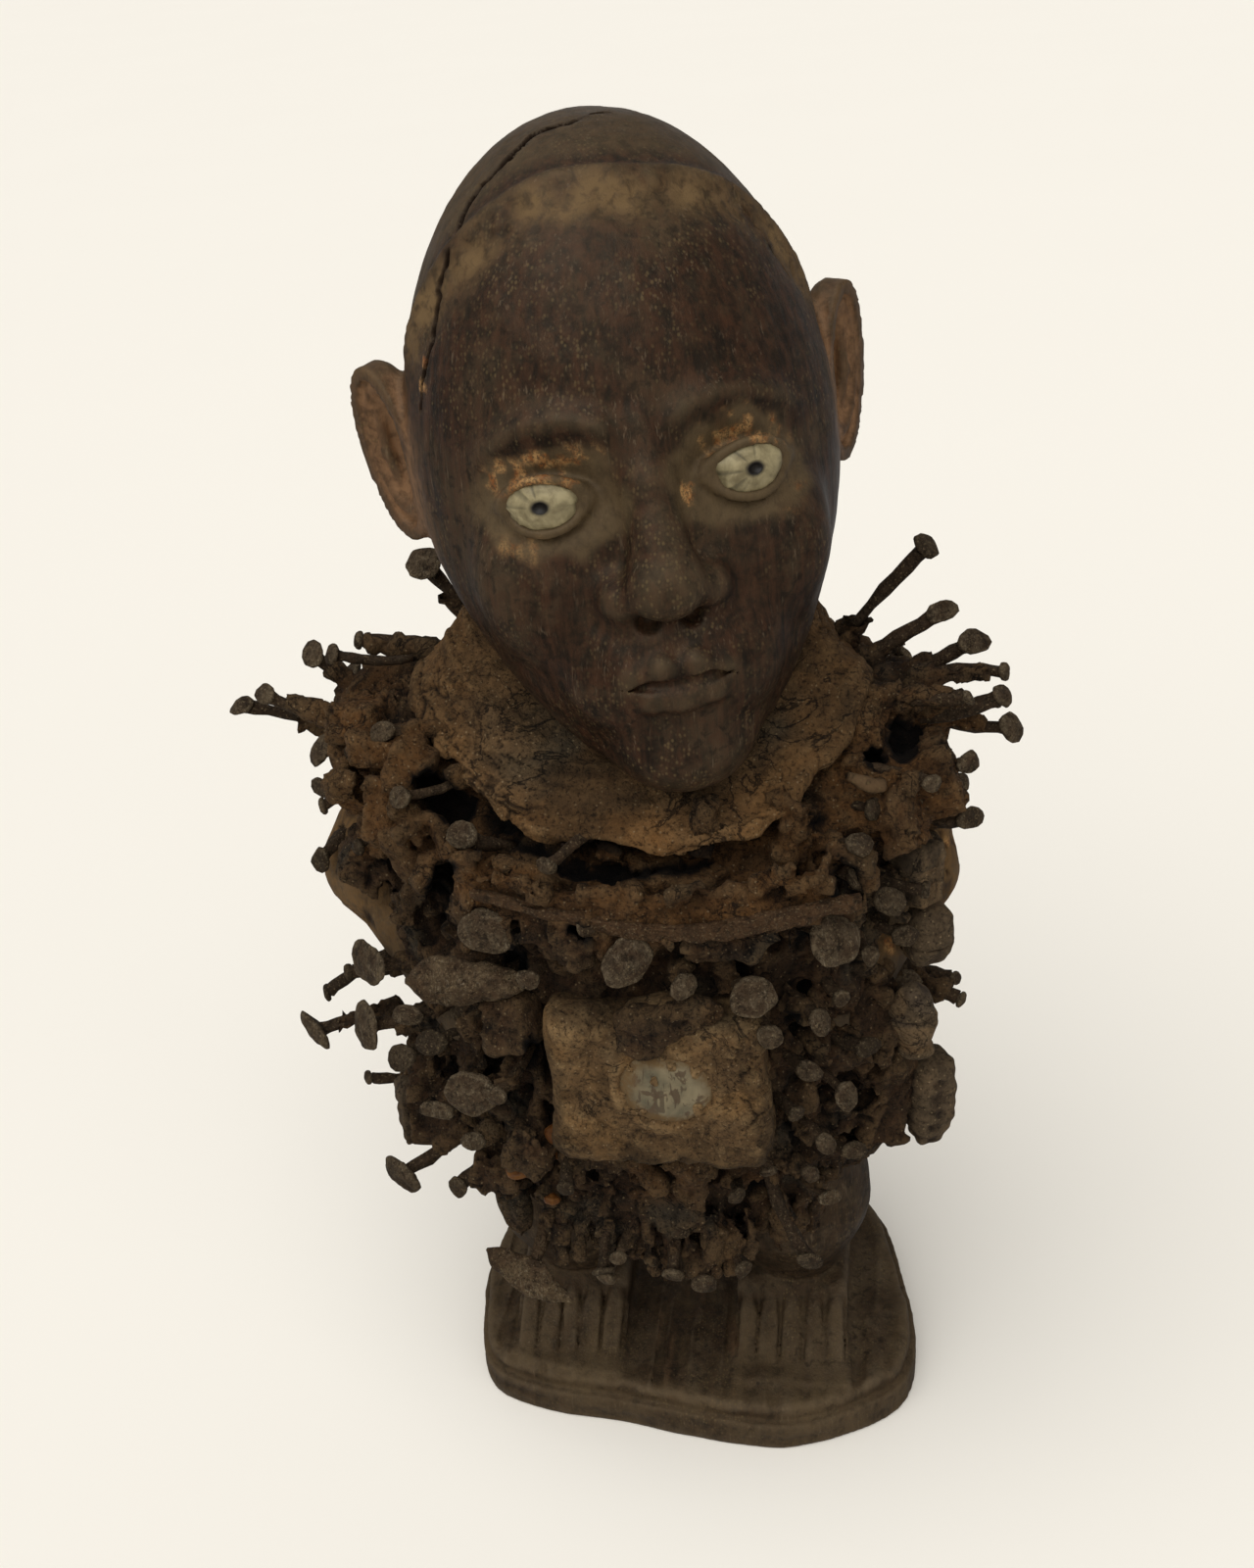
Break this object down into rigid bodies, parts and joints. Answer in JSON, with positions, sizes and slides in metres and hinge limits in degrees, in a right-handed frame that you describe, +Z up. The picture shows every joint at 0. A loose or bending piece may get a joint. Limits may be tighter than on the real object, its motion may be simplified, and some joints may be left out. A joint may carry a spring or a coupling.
{
  "type": "nkisi figure",
  "caption": "Carved wooden power figure standing on its base, head turned, with a resin collar, an encrusted body full of hand-forged nails, and a glass-fronted belly pack.",
  "frame": {"origin": "middle of the base's flat underside", "axes": "+Z up, the figure faces -Y, +X is its own left hand, which is the viewer's right"},
  "size_m": [0.2198, 0.1522, 0.3991],
  "materials": {
    "black_wood": "satin",
    "pale_inlay": "satin",
    "earth_resin": "matte",
    "pack_resin": "matte",
    "clouded_glass": "satin",
    "old_iron": "matte",
    "wrapped_peg": "matte"
  },
  "bodies": {
    "root": {"figure": "black_wood", "eye_left": "pale_inlay", "eye_right": "pale_inlay", "collar": "earth_resin", "body_coat": "earth_resin", "belly_pack": "pack_resin", "belly_pane": "clouded_glass", "chest_strip": "old_iron", "leaf_blade": "old_iron", "spade_blade": "old_iron", "cone_peg": "wrapped_peg", "bound_peg": "wrapped_peg", "shell_peg": "wrapped_peg", "round_peg": "wrapped_peg", "tapered_peg": "wrapped_peg", "nail_01": "old_iron", "nail_02": "old_iron", "nail_03": "old_iron", "nail_04": "old_iron", "nail_05": "old_iron", "nail_06": "old_iron", "nail_07": "old_iron", "nail_08": "old_iron", "nail_09": "old_iron", "nail_10": "old_iron", "nail_11": "old_iron", "nail_12": "old_iron", "nail_13": "old_iron", "nail_14": "old_iron", "nail_15": "old_iron", "nail_16": "old_iron", "nail_17": "old_iron", "nail_18": "old_iron", "nail_19": "old_iron", "nail_20": "old_iron", "nail_21": "old_iron", "nail_22": "old_iron", "nail_23": "old_iron", "nail_24": "old_iron", "nail_25": "old_iron", "nail_26": "old_iron", "nail_27": "old_iron", "nail_28": "old_iron", "nail_29": "old_iron", "nail_30": "old_iron", "nail_31": "old_iron", "nail_32": "old_iron", "nail_33": "old_iron", "nail_34": "old_iron", "nail_35": "old_iron", "nail_36": "old_iron", "nail_37": "old_iron", "nail_38": "old_iron", "nail_39": "old_iron", "nail_40": "old_iron"}
  },
  "joints": []
}
